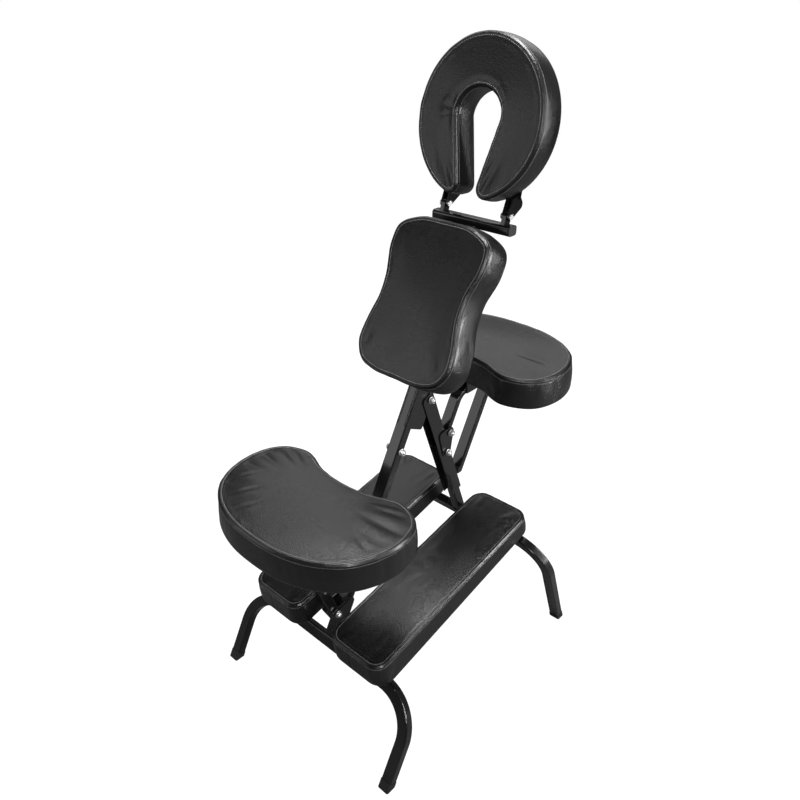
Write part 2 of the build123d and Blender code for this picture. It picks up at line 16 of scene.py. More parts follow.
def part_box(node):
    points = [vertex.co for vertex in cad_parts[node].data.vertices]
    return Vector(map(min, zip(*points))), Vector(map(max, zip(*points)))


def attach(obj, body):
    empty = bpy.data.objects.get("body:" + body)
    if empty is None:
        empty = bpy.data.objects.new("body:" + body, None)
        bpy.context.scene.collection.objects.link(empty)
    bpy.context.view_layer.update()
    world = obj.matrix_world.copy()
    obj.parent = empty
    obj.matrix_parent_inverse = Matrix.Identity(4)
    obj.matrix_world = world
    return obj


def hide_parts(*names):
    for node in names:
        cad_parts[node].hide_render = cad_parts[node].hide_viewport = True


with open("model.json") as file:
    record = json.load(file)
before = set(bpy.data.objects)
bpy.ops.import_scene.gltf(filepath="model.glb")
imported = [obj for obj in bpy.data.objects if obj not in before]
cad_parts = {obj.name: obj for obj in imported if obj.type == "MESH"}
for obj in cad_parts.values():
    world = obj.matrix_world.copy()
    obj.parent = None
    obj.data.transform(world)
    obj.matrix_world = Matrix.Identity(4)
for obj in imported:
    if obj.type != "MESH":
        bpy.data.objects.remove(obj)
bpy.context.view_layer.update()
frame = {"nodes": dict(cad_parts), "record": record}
scene = bpy.context.scene

# %% [markdown]
# ## Where each pad sits
# A pad is easiest to draw lying flat, so each one gets its own set of axes: local X across
# it, local Y along it and local Z out of its soft face. The chest pad's direction comes from
# its joint and the other pads' from given directions and angles. The origin and size come
# from the corners of the CAD pad seen along those axes.

# %% Pad axes from the CAD nodes
def node_points(name):
    """All corners of a CAD node, in the row frame."""
    node = frame["nodes"][name]
    flat = np.empty(len(node.data.vertices) * 3)
    node.data.vertices.foreach_get("co", flat)
    matrix = np.array(node.matrix_world)
    return flat.reshape(-1, 3) @ matrix[:3, :3].T + matrix[:3, 3]


def pad_axes(along, board, cushion, across=(1, 0, 0)):
    """Axes of a pad and its size: origin under the middle of its board."""
    x_axis, y_axis = Vector(across).normalized(), Vector(along).normalized()
    turn = np.array([x_axis, y_axis, x_axis.cross(y_axis)])
    soft = node_points(cushion) @ turn.T
    hard = node_points(board) @ turn.T
    low, high = soft.min(0), soft.max(0)
    origin = turn.T @ [(low[0] + high[0]) / 2, (low[1] + high[1]) / 2, hard[:, 2].min()]
    axes = Matrix.Translation(origin) @ Matrix(turn.T.tolist()).to_4x4()
    size = (high[0] - low[0], high[1] - low[1], high[2] - hard[:, 2].min())
    return axes, size


JOINTS = {joint["name"]: joint for joint in frame["record"]["behaviour"]["joints"]}
MAST_DIRECTION = Vector(JOINTS["headrest_height"]["axis"])
CRADLE_LEAN = math.radians(12)
KNEE_TILT = math.radians(10.8)
KNEE_TAPER = math.radians(1.95)     # the underside climbs faster than the top
PADS = {
    "seat": pad_axes((0, 1, 0), "seat_board", "seat_cushion"),
    "armrest": pad_axes((0, -1, 0), "armrest_board", "armrest_cushion", (-1, 0, 0)),
    "chest": pad_axes(MAST_DIRECTION, "chest_board", "chest_cushion"),
    "cradle": pad_axes((0, math.sin(CRADLE_LEAN), math.cos(CRADLE_LEAN)), "cradle_board", "cradle_cushion"),
}
for side in ("left", "right"):
    along = (0, math.cos(KNEE_TILT), math.sin(KNEE_TILT))
    PADS["knee_" + side] = pad_axes(along, "knee_board_" + side, "knee_cushion_" + side)
for name, (axes, size) in PADS.items():
    print(name, "pad, mm:", [round(v * 1000) for v in size])

# %% [markdown]
# ## Paper patterns
# An upholsterer starts from a paper pattern of the top panel. The seat and the armrest
# share a bean shape, the chest pad is an hourglass, the knee pads are long rounded
# rectangles and the face cradle is a horseshoe. Half of a pattern is enough, because each
# one is symmetric: the other half is its mirror image.

# %% Pattern outlines
BEAN_HALF = [(0, 96), (62, 103), (135, 126), (190, 98), (208, 46), (204, -4),
             (178, -58), (139, -92), (70, -119), (0, -125)]
HOURGLASS_HALF = [(0, 158), (70, 153), (111, 129), (115, 92), (101, 28), (101, -10),
                  (115, -75), (116, -113), (96, -144), (60, -156), (0, -157)]


def smooth_loop(half, steps=40):
    """Closed curve through a half pattern and its mirror image, starting at the top middle."""
    points = np.array(half + [(-x, y) for x, y in reversed(half[1:-1])], float)
    before, after = np.roll(points, 1, 0), np.roll(points, -1, 0)
    chord_in = np.linalg.norm(points - before, axis=1)[:, None]
    chord_out = np.linalg.norm(after - points, axis=1)[:, None]
    slope = ((points - before) / chord_in * chord_out + (after - points) / chord_out * chord_in)
    slope /= chord_in + chord_out
    t = np.linspace(0, 1, steps, endpoint=False)[:, None]
    runs = []
    for i in range(len(points)):
        p, q = points[i], after[i]
        m, n = slope[i] * chord_out[i], np.roll(slope, -1, 0)[i] * chord_out[i]
        runs.append((2 * t**3 - 3 * t**2 + 1) * p + (t**3 - 2 * t**2 + t) * m
                    + (3 * t**2 - 2 * t**3) * q + (t**3 - t**2) * n)
    return np.roll(np.concatenate(runs)[::-1], 1, 0) / 1000


def arc(centre, radius, start, end, steps=60):
    """Points on an arc, angles in degrees, anticlockwise when end is larger."""
    angles = np.radians(np.linspace(start, end, steps))
    return np.stack([centre[0] + radius * np.cos(angles), centre[1] + radius * np.sin(angles)], 1)


def rounded_rectangle(wide, long, radius):
    """Closed outline from the middle of the far side, anticlockwise."""
    x, y = wide / 2 - radius, long / 2 - radius
    return np.concatenate([[(0, long / 2)], arc((-x, y), radius, 90, 180), arc((-x, -y), radius, 180, 270),
                           arc((x, -y), radius, 270, 360), arc((x, y), radius, 0, 90)])


def horseshoe(wide=0.142, tall=0.148, hole=0.051, hole_y=0.005, gap=0.022, tip=0.020):
    """Oval ring with a hole that is open at the lower end, and rounded tips."""
    tip_x = gap + tip
    tip_y = -(tall - tip) * math.sqrt(1 - (tip_x / (wide - tip)) ** 2)
    stop = math.atan2(tip_y / (tall - tip), -tip_x / (wide - tip)) + 2 * math.pi
    turns = np.linspace(math.pi / 2, stop, 120)
    oval = np.stack([wide * np.cos(turns), tall * np.sin(turns)], 1)
    turn = math.degrees(math.atan2(tip_y / (tall - tip) ** 2, -tip_x / (wide - tip) ** 2)) + 360
    tip_round = arc((-tip_x, tip_y), tip, turn, 360, 30)[1:]
    left = np.concatenate([oval, tip_round, arc((0, hole_y), hole, 180, 90)])
    right = left[::-1][1:-1] * (-1, 1)
    return np.concatenate([left, right])


print("bean pattern has", len(smooth_loop(BEAN_HALF)), "drawing points")
print("horseshoe is", np.ptp(horseshoe(), axis=0).round(3), "m")

# %% [markdown]
# ## A panel made of rings
# Real seams run round the edge of a panel, so the mesh should too. The outer part is a few
# rings that follow the outline, closest together at the seam where the surface bends most.
# The middle is filled with a plain grid. Relaxing the grid, by moving each point to the
# middle of its neighbours many times over, spreads its corners out evenly.

# %% Rings and a relaxed grid
RING_STEPS = (0, 0.002, 0.0042, 0.0066, 0.0095, 0.0135, 0.0185, 0.024)


def walk(loop, corners, across, along):
    """Points round a loop. corners are two fractions that set where the four sides meet."""
    closed = np.vstack([loop, loop[:1]])
    length = np.concatenate([[0], np.cumsum(np.linalg.norm(np.diff(closed, axis=0), axis=1))])
    length /= length[-1]
    top, bottom = corners
    stops = [1 - top, 1 + top, 1 + bottom, 2 - bottom, 2 - top]
    counts = (across, along, across, along)
    marks = np.concatenate([np.linspace(stops[k], stops[k + 1], counts[k], endpoint=False) for k in range(4)])
    marks %= 1
    return np.stack([np.interp(marks, length, closed[:, 0]), np.interp(marks, length, closed[:, 1])], 1)


def inward(ring):
    """Unit directions into a closed anticlockwise ring."""
    ahead = np.roll(ring, -1, 0) - np.roll(ring, 1, 0)
    ahead /= np.linalg.norm(ahead, axis=1)[:, None]
    return np.stack([-ahead[:, 1], ahead[:, 0]], 1)


def quads(rows):
    """Faces between consecutive closed rows of point numbers."""
    faces = []
    for a, b in zip(rows[:-1], rows[1:]):
        for i in range(len(a)):
            j = (i + 1) % len(a)
            faces.append((a[i], a[j], b[j], b[i]))
    return faces


def panel(ring, across, along, steps):
    """Flat panel inside a ring: its points, its faces and the point numbers of each ring."""
    count = len(ring)
    into = inward(ring)
    rings = [ring + step * into for step in steps]
    inner = rings[-1]
    side = [inner[:across + 1], inner[across:across + along + 1],
            inner[across + along:2 * across + along + 1][::-1],
            np.vstack([inner[2 * across + along:], inner[:1]])[::-1]]
    u = np.linspace(0, 1, across + 1)[:, None, None]
    v = np.linspace(0, 1, along + 1)[None, :, None]
    a, b, c, d = side[0][:, None], side[1][None, :], side[2][:, None], side[3][None, :]
    grid = (1 - v) * a + v * c + (1 - u) * d + u * b
    grid = grid - ((1 - u) * (1 - v) * a[0] + u * (1 - v) * a[-1] + (1 - u) * v * c[0] + u * v * c[-1])
    rows = [list(range(k * count, (k + 1) * count)) for k in range(len(steps))]
    number = np.full((across + 1, along + 1), -1)
    edge = rows[-1]
    number[:, 0] = edge[:across + 1]
    number[-1, :] = edge[across:across + along + 1]
    number[:, -1] = edge[across + along:2 * across + along + 1][::-1]
    number[0, :] = (edge[2 * across + along:] + edge[:1])[::-1]
    inside = number < 0
    number[inside] = np.arange(inside.sum()) + len(steps) * count
    points = np.vstack(rings + [grid[inside]])
    faces = quads(rows)
    for i in range(across):
        for j in range(along):
            faces.append((number[i, j], number[i + 1, j], number[i + 1, j + 1], number[i, j + 1]))
    relax(points, faces, count * (len(steps) // 2))
    return points, faces, rows


def relax(points, faces, held, turns=400):
    """Moves every point after the first `held` ones to the middle of its neighbours."""
    pairs = {tuple(sorted((face[k], face[k - 1]))) for face in faces for k in range(4)}
    ends = np.array(sorted(pairs))
    ends = np.vstack([ends, ends[:, ::-1]])
    number = np.bincount(ends[:, 0], minlength=len(points))[:, None]
    for _ in range(turns):
        total = np.stack([np.bincount(ends[:, 0], points[ends[:, 1], k], len(points)) for k in (0, 1)], 1)
        points[held:] = (total / number)[held:]


test = walk(smooth_loop(BEAN_HALF), (0.14, 0.36), 70, 44)
print("seat panel has", len(panel(test, 70, 44, RING_STEPS)[0]), "points")

# %% [markdown]
# ## A pad from three panels
# A boxed pad has a top panel, a band round its sides and an underside. The band leaves the
# top seam, swells a little and turns in under the board, where it would be stapled. All
# three share their edge points, so the pad is one closed skin with its seam as a real row
# of points. The top starts with a low crown that is highest away from the seam.

# %% Build a closed pad
UNDER_STEPS = (0, 0.003, 0.008, 0.016, 0.030)
SHOULDER, CRADLE_SHOULDER = 0.055, 0.034      # how far in from the seam the crown goes on rising


def crown(points, ring, reach):
    """0 at the seam, 1 from `reach` inwards, as a round shoulder. Also the distance to the seam."""
    away = np.empty(len(points))
    for start in range(0, len(points), 1000):
        gap = points[start:start + 1000, None] - ring[None]
        away[start:start + 1000] = np.sqrt((gap**2).sum(2)).min(1)
    return 1 - (1 - np.clip(away / reach, 0, 1)) ** 2, away


def band_rows(height, flare, swell):
    """(height, outward offset) of each row of the band, from the top seam down."""
    drops = [0.002, 0.0042, 0.0066, 0.0095, 0.0135]
    drops += list(np.arange(0.019, height - 0.012, 0.0062))
    rows = []
    for drop in drops:
        share = drop / height
        rows.append((height - drop, flare * share + swell * 4 * share * (1 - share)))
    rows += [(0.008, flare), (0.0045, flare), (0.0016, flare - 0.0008)]
    rows.append((0.0, flare - 0.0032))
    return rows


def pad_skin(name, loop, corners, across, along, rise, flare, swell, taper=0.0):
    """Closed pad in its own axes. Returns its points, faces and named rows."""
    axes, size = PADS[name]
    height = size[2] - rise
    spread = np.array(size[:2]) / np.ptp(loop, axis=0)
    middle = (loop.max(0) + loop.min(0)) / 2
    outline = (loop - middle) * spread
    ring = walk(outline, corners, across, along)
    flat, faces, rows = panel(ring, across, along, RING_STEPS)
    bulge, away = crown(flat, ring, CRADLE_SHOULDER if name == "cradle" else SHOULDER)
    top = np.column_stack([flat, height + rise * bulge])
    points, out, last = [top], -inward(ring), list(rows[0])
    count = len(top)
    seam = {"top": rows, "band": [rows[0]], "away": away}
    for level, offset in band_rows(height, flare, swell):
        points.append(np.column_stack([ring + offset * out, np.full(len(ring), level)]))
        row = list(range(count, count + len(ring)))
        faces += [(b, a, d, c) for a, b, c, d in quads([last, row])]
        seam["band"].append(row)
        last, count = row, count + len(ring)
    under, under_faces, under_rows = panel(ring + offset * out, across, along, UNDER_STEPS)
    shift = count - len(ring)
    number = np.arange(len(under)) + shift
    points.append(np.column_stack([under[len(ring):], np.zeros(len(under) - len(ring))]))
    faces += [tuple(int(number[k]) for k in reversed(face)) for face in under_faces]
    seam["under"] = list(range(shift, shift + len(under)))
    seam["under_rows"] = [[k + shift for k in row] for row in under_rows]
    skin = np.vstack(points)
    climb = (skin[:, 1] - skin[:, 1].min()) * math.tan(taper)
    skin[:, 2] += climb * np.clip(1 - skin[:, 2] / height, 0, 1)
    return skin, faces, seam

# %% [markdown]
# ## Blow the pads up
# Foam pushes the covering outwards and the stitched seam holds it back. A cloth simulation
# with air pressure inside does the same. The underside is held still and the seam is held
# firmly. Creases that the covering shows year after year are drawn in before it is blown up,
# some in chosen places and some by a seeded dice. Each point may move only so far, so a pad
# keeps to the size of its foam.

# %% Creases sewn into the cover
def crease_offset(flat, creases):
    """Height change of the top panel: each crease is a soft valley beside two low ridges."""
    rise = np.zeros(len(flat))
    for x, y, heading, length, width, depth, bend in creases:
        turn = math.radians(heading)
        dx, dy = flat[:, 0] - x, flat[:, 1] - y
        along = dx * math.cos(turn) + dy * math.sin(turn)
        side = -dx * math.sin(turn) + dy * math.cos(turn) - bend * along**2
        share = np.clip(along / length, 0, 1)
        fade = np.where((along > 0) & (share < 1), np.sin(math.pi * share**0.6) ** 1.2, 0)
        near = (side / width) ** 2
        rise += depth * fade * (1.15 * near - 0.75) * np.exp(-near)
    return rise


def seeded_creases(ring, spans, seed, depth=0.0016):
    """Short creases that run in from the seam, in the given stretches of the ring."""
    dice = np.random.default_rng(seed)
    into, creases = inward(ring), []
    for first, last, count in spans:
        for share in np.sort(dice.uniform(first, last, count)):
            k = int(share * len(ring)) % len(ring)
            heading = math.degrees(math.atan2(into[k, 1], into[k, 0])) + dice.uniform(-16, 16)
            creases.append((ring[k, 0], ring[k, 1], heading, dice.uniform(0.03, 0.085),
                            dice.uniform(0.004, 0.008), depth * dice.uniform(0.5, 1.2), dice.uniform(-1, 1)))
    return creases

# %% The cloth simulation
SIM_FRAMES = 20
PRESSURE = 3.0
FOAM_REACH = 0.007       # farthest that a point of the covering may move


def make_mesh(name, points, faces):
    mesh = bpy.data.meshes.new(name)
    mesh.from_pydata(np.asarray(points).tolist(), [], [tuple(int(v) for v in face) for face in faces])
    mesh.polygons.foreach_set("use_smooth", [True] * len(mesh.polygons))
    piece = bpy.data.objects.new(name, mesh)
    scene.collection.objects.link(piece)
    return piece


def add_cloth(piece, held):
    """Cloth that is blown up from inside. held gives each point's grip, from 0 to 1."""
    group = piece.vertex_groups.new(name="held")
    for grip in sorted({round(float(g), 2) for g in held}):
        members = [int(i) for i in np.flatnonzero(np.abs(held - grip) < 0.006)]
        group.add(members, grip, "REPLACE")
    cloth = piece.modifiers.new("blow up", "CLOTH")
    settings = cloth.settings
    settings.quality = 5
    settings.mass = 0.25
    settings.tension_stiffness = settings.compression_stiffness = 18
    settings.shear_stiffness = 8
    settings.bending_stiffness = 4
    settings.air_damping = 4
    settings.use_pressure = True
    settings.uniform_pressure_force = PRESSURE
    settings.vertex_group_mass = "held"
    settings.pin_stiffness = 2
    settings.shrink_min = 0.005
    settings.effector_weights.gravity = 0
    cloth.collision_settings.use_collision = False
    cloth.point_cache.frame_start, cloth.point_cache.frame_end = 1, SIM_FRAMES


def coordinates(mesh):
    flat = np.empty(len(mesh.vertices) * 3)
    mesh.vertices.foreach_get("co", flat)
    return flat.reshape(-1, 3)


def settle(pieces, cap):
    """Runs the cloth on all pieces at once, keeps moves up to `cap` and removes the cloth."""
    for step in range(1, SIM_FRAMES + 1):
        scene.frame_set(step)
    graph = bpy.context.evaluated_depsgraph_get()
    for piece in pieces:
        start = coordinates(piece.data)
        shaped = piece.evaluated_get(graph)
        move = coordinates(shaped.data) - start
        far = np.linalg.norm(move, axis=1)
        move *= np.minimum(1, cap / np.maximum(far, 1e-9))[:, None]
        piece.modifiers.clear()
        piece.data.vertices.foreach_set("co", (start + move).ravel())
        piece.data.update()
        print(piece.name, "moved at most, mm:", round(far.max() * 1000, 1))
    scene.frame_set(1)

# %% Cut and sew the pads
KNEE_CUT = (rounded_rectangle(0.142, 0.501, 0.03), (0.04, 0.46), 22, 92, 0.007, 0.004, 0.002, KNEE_TAPER)
CUTS = {
    # name: pattern, corners, grid across and along, crown, flare, swell, taper
    "seat": (smooth_loop(BEAN_HALF), (0.14, 0.36), 70, 44, 0.010, 0.004, 0.002, 0),
    "armrest": (smooth_loop(BEAN_HALF), (0.14, 0.36), 70, 44, 0.007, 0.005, 0.003, 0),
    "chest": (smooth_loop(HOURGLASS_HALF), (0.085, 0.415), 36, 56, 0.007, 0.006, 0.003, 0),
    "cradle": (horseshoe(), (0.285, 0.36), 120, 20, 0.005, 0.001, 0.003, 0),
    "knee_left": KNEE_CUT,
    "knee_right": KNEE_CUT,
}
PLACED_CREASES = {
    # pad: x, y, heading in degrees, length, width, depth and bend of each crease
    "seat": [(-0.167, -0.048, 61, 0.075, 0.007, 0.0024, 0.3),
             (-0.128, -0.074, 56, 0.085, 0.007, 0.0026, -0.2),
             (-0.087, -0.099, 56, 0.070, 0.007, 0.0020, 0.2),
             (0.148, -0.044, 115, 0.040, 0.006, 0.0020, 0.3),
             (0.172, -0.016, 154, 0.036, 0.006, 0.0018, 0.2)],
    "armrest": [(0.18, 0.03, 176, 0.08, 0.008, 0.0022, 0.4),
                (-0.17, 0.02, 4, 0.10, 0.008, 0.0022, 0.4)],
    "knee_left": [(-0.05, -0.02, 12, 0.07, 0.011, 0.0011, 0.4)],
    "knee_right": [(-0.062, -0.02, 8, 0.09, 0.013, 0.0026, 0.4),
                   (-0.064, 0.018, 16, 0.10, 0.013, 0.0026, 0.2),
                   (-0.062, -0.065, 2, 0.08, 0.012, 0.0012, -0.3)],
}
SHORT_CREASES = {
    # pad: stretches of its outline, from and to as fractions, and how many creases each holds
    "cradle": [(0.62, 0.82, 3)],
    "knee_left": [(0.05, 0.30, 2)],
    "knee_right": [(0.93, 0.99, 2)],
}
BODY_OF = {"seat": "seat", "armrest": "armrest", "chest": "chest_pad", "cradle": "face_cradle",
           "knee_left": "knee_pad_left", "knee_right": "knee_pad_right"}
pads, seams = {}, {}
for order, (name, cut) in enumerate(CUTS.items()):
    loop, corners, across, along, rise, flare, swell, taper = cut
    points, faces, seam = pad_skin(name, loop, corners, across, along, rise, flare, swell, taper)
    top = len(seam["away"])
    rim = points[:2 * (across + along), :2]
    creases = PLACED_CREASES.get(name, []) + seeded_creases(rim, SHORT_CREASES.get(name, []), 40 + order)
    points[:top, 2] += crease_offset(points[:top, :2], creases)
    held = np.zeros(len(points))      # staples hold the underside, and thread holds the rim a little less
    held[seam["under"]] = 1
    held[seam["band"][-3]] = 0.9
    held[seam["top"][0]] = 0.85
    held[seam["top"][1]] = held[seam["band"][1]] = 0.4
    piece = make_mesh(name + "_pad", points, faces)
    add_cloth(piece, held)
    pads[name], seams[name] = piece, seam
settle(pads.values(), FOAM_REACH)

# %% [markdown]
# ## Seams and stitches
# Where the panels meet, the thread pulls the covering down into a narrow valley, and a row
# of topstitches runs on each side of it. The rows nearest the seam are pushed in and out by
# fractions of a millimetre, with small random puckers, and then each pad gets one level of
# subdivision. The stitches themselves are short thread capsules laid on the finished skin.

# %% Press the seam into the skin
SEAM_PROFILE = {"top": (-0.0016, 0.0006, 0.0011, -0.0003, 0.0004),
                "band": (None, 0.0004, 0.0009, -0.0004, 0.0002)}
BOXING_COLUMN = 123      # column of a knee pad's band where its two ends are joined


def vertex_normals(piece):
    flat = np.empty(len(piece.data.vertices) * 3)
    piece.data.vertices.foreach_get("normal", flat)
    return flat.reshape(-1, 3)


def sew(name):
    """Valley at the seam, low ridges beside it and puckers along the stitch rows."""
    piece, seam = pads[name], seams[name]
    points, normals = coordinates(piece.data), vertex_normals(piece)
    count = len(seam["top"][0])
    dice = np.random.default_rng(len(name) * 7 + count)
    pucker = np.convolve(np.tile(dice.normal(0, 1, count), 3), (0.25, 0.5, 0.25), "same")[count:2 * count]
    for side, offsets in SEAM_PROFILE.items():
        for row, offset in zip(seam[side], offsets):
            if offset is not None:
                weave = (0.0003 if offset > 0 else 0.0001) * pucker
                points[row] += normals[row] * (offset + weave)[:, None]
    if name.startswith("knee"):
        for shift, push in ((-1, 0.0005), (0, -0.0014), (1, 0.0005)):
            column = [row[BOXING_COLUMN + shift] for row in seam["band"][3:-3]]
            points[column] += normals[column] * push
    piece.data.vertices.foreach_set("co", points.ravel())
    matrix = PADS[name][0]
    piece.data.transform(matrix)
    piece.data.update()
    smooth = piece.modifiers.new("round off", "SUBSURF")
    smooth.levels = smooth.render_levels = 1
    finished = bpy.data.meshes.new_from_object(piece.evaluated_get(bpy.context.evaluated_depsgraph_get()))
    piece.modifiers.clear()
    piece.data = finished
    finished.name = piece.name
    print(piece.name, "has", len(finished.polygons), "faces")


for name in pads:
    sew(name)

# %% Lay the thread
STITCH_PITCH, STITCH_LENGTH, THREAD = 0.0046, 0.0034, 0.00042


def capsule(sides=6):
    """Unit thread capsule along X: rings of (x, radius), with a pole at each end."""
    rings = [(-0.5, 0.55), (-0.3, 0.95), (0.3, 0.95), (0.5, 0.55)]
    points = [(-0.62, 0, 0)]
    for x, radius in rings:
        for k in range(sides):
            turn = 2 * math.pi * k / sides
            points.append((x, radius * math.cos(turn), radius * math.sin(turn)))
    points.append((0.62, 0, 0))
    faces = [(0, 1 + (k + 1) % sides, 1 + k) for k in range(sides)]
    for ring in range(len(rings) - 1):
        a, b = 1 + ring * sides, 1 + (ring + 1) * sides
        faces += [(a + k, a + (k + 1) % sides, b + (k + 1) % sides, b + k) for k in range(sides)]
    last, end = 1 + (len(rings) - 1) * sides, len(points) - 1
    faces += [(last + k, last + (k + 1) % sides, end) for k in range(sides)]
    return np.array(points), faces


def stitch_row(line, normals, thread=THREAD, pitch=STITCH_PITCH, length=STITCH_LENGTH):
    """Points and faces of a closed row of stitches along a line on a surface."""
    closed = np.vstack([line, line[:1]])
    lift = np.vstack([normals, normals[:1]])
    distance = np.concatenate([[0], np.cumsum(np.linalg.norm(np.diff(closed, axis=0), axis=1))])
    number = int(distance[-1] / pitch)
    starts = np.arange(number) * distance[-1] / number

    def at(marks, table):
        return np.stack([np.interp(marks, distance, table[:, k]) for k in range(3)], 1)

    one, two, up = at(starts, closed), at(starts + length, closed), at(starts + length / 2, lift)
    ahead = two - one
    size = np.linalg.norm(ahead, axis=1)[:, None]
    ahead /= size
    up -= (up * ahead).sum(1)[:, None] * ahead
    up /= np.linalg.norm(up, axis=1)[:, None]
    across = np.cross(up, ahead)
    middle = (one + two) / 2 + up * thread * 0.35
    shape, faces = capsule()
    points = (middle[:, None] + shape[None, :, :1] * size[:, None] * ahead[:, None]
              + shape[None, :, 1:2] * thread * across[:, None] + shape[None, :, 2:] * thread * up[:, None])
    shift = np.arange(number)[:, None] * len(shape)
    every = [tuple(v + s for v in face) for s in shift[:, 0] for face in faces]
    return points.reshape(-1, 3), every


def topstitch(name, rows):
    """One piece with all the rows of stitches on a pad."""
    piece, seam = pads[name], seams[name]
    points, normals = coordinates(piece.data), vertex_normals(piece)
    all_points, all_faces, shift = [], [], 0
    for side, row in rows:
        members = seam[side][row]
        stitches, faces = stitch_row(points[members], normals[members])
        all_points.append(stitches)
        all_faces += [tuple(v + shift for v in face) for face in faces]
        shift += len(stitches)
    thread = make_mesh(name + "_topstitch", np.vstack(all_points), all_faces)
    print(thread.name, "has", len(all_faces) // len(capsule()[1]), "stitches")
    return thread


threads = {name: topstitch(name, [("top", 3), ("band", 3)]) for name in pads}
for name, piece in pads.items():
    for part in (piece, threads[name]):
        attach(part, BODY_OF[name])
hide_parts("seat_cushion", "seat_board")
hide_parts("armrest_cushion", "armrest_board")
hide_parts("chest_cushion", "chest_board")
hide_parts("cradle_cushion", "cradle_board")
for side in ("left", "right"):
    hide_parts("knee_cushion_" + side, "knee_board_" + side)

# %% [markdown]
# ## Camera
# The camera stands behind the seat's right-hand corner and looks down on the chair.

# %% Camera
def aim(thing, target):
    thing.rotation_euler = (Vector(target) - thing.location).to_track_quat("-Z", "Y").to_euler()


lens = bpy.data.cameras.new("studio camera")
lens.sensor_width = 36
lens.lens = 33.4
camera = bpy.data.objects.new("studio camera", lens)
camera.location = (0.8735, -0.967, 1.3869)
camera.rotation_euler = (math.radians(90 - 29.4), 0, math.radians(42.5))
scene.collection.objects.link(camera)
scene.camera = camera

# %% [markdown]
# ## Undersides
# Turn a real pad over and there is a thin black dust cloth, stapled over the raw edge of
# the covering. Here it is a shallow panel whose rim tucks up into the pad, with a row of
# staples round it. It keeps the underside from looking like a cast block.

# %% Dust cloths and staples
CLOTH_INSET, STAPLE_INSET = 0.013, 0.019
CLOTH_STEPS = (0, 0.0008, 0.003, 0.008, 0.018)
STAPLE_WIRE, STAPLE_PITCH, STAPLE_LENGTH = 0.00045, 0.036, 0.0085


def under_line(name, inset):
    """Ring `inset` in from a pad's lower edge, the underside's slope along the pad, and the pad's axes."""
    points = coordinates(pads[name].data)[seams[name]["under_rows"][0]]
    turn = np.array(PADS[name][0])
    flat = (points - turn[:3, 3]) @ turn[:3, :3]
    ring = flat[:, :2] + inset * inward(flat[:, :2])
    slope = np.polyfit(flat[:, 1], flat[:, 2], 1)
    return ring, slope, turn


def to_row(points, turn):
    return points @ turn[:3, :3].T + turn[:3, 3]


def dust_cloth(name):
    """Closed-rim panel on the underside and its staples, as two pieces."""
    across, along = CUTS[name][2:4]
    ring, slope, turn = under_line(name, CLOTH_INSET)
    flat, faces, rows = panel(ring, across, along, CLOTH_STEPS)
    level = np.full(len(flat), -0.0010)
    level[rows[0]] = 0.0006
    dice = np.random.default_rng(len(name))
    inner = len(ring) * len(CLOTH_STEPS)
    level[inner:] += 0.0004 * dice.normal(0, 1, len(flat) - inner).clip(-1, 1)
    height = np.polyval(slope, flat[:, 1]) + level
    cloth = make_mesh(name + "_dust_cloth", to_row(np.column_stack([flat, height]), turn),
                      [tuple(reversed(face)) for face in faces])
    ring, slope, turn = under_line(name, STAPLE_INSET)
    line = to_row(np.column_stack([ring, np.polyval(slope, ring[:, 1]) - 0.0010]), turn)
    down = np.tile(-turn[:3, 2], (len(line), 1))
    points, faces = stitch_row(line, down, STAPLE_WIRE, STAPLE_PITCH, STAPLE_LENGTH)
    staples = make_mesh(name + "_staples", points, faces)
    return cloth, staples


cloths, staples = {}, {}
for name in pads:
    cloths[name], staples[name] = dust_cloth(name)
    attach(cloths[name], BODY_OF[name])
    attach(staples[name], BODY_OF[name])
print("dust cloths:", len(cloths))
print("staples under the seat:", len(staples["seat"].data.vertices) // len(capsule()[0]))

# %% [markdown]
# ## Bolts and nuts
# Each pivot is a button-head bolt with a hexagon socket on the sitter's left and a lock nut
# on the right: a hexagon with a rounded collar and a dark nylon ring round the bolt's end.
# Turned parts are easiest as a lathe: a list of (x, radius) pairs spun round the X axis.
# The nut's hexagon is the same lathe with six sides and a softened corner.

# %% Turned and hexagonal fittings
def lathe(profile, place, sides=32, corner=0.0):
    """Points and faces of (x, radius) pairs spun round X. corner pulls six flats into the round."""
    points, faces = [], []
    for x, radius in profile:
        for k in range(sides):
            turn = 2 * math.pi * k / sides
            flat = math.cos(math.pi / 6) / math.cos((turn + math.pi / 6) % (math.pi / 3) - math.pi / 6)
            reach = radius * (1 - corner + corner * flat)
            points.append((place[0] + x, place[1] + reach * math.cos(turn),
                           place[2] + reach * math.sin(turn)))
    for ring in range(len(profile) - 1):
        for k in range(sides):
            a, b = ring * sides + k, ring * sides + (k + 1) % sides
            faces.append((a, b, b + sides, a + sides))
    faces.append(tuple(reversed(range(sides))))
    faces.append(tuple(range((len(profile) - 1) * sides, len(profile) * sides)))
    return points, faces


def gather(parts):
    """Joins lists of points and faces into one."""
    points, faces = [], []
    for some_points, some_faces in parts:
        faces += [tuple(v + len(points) for v in face) for face in some_faces]
        points += list(some_points)
    return points, faces


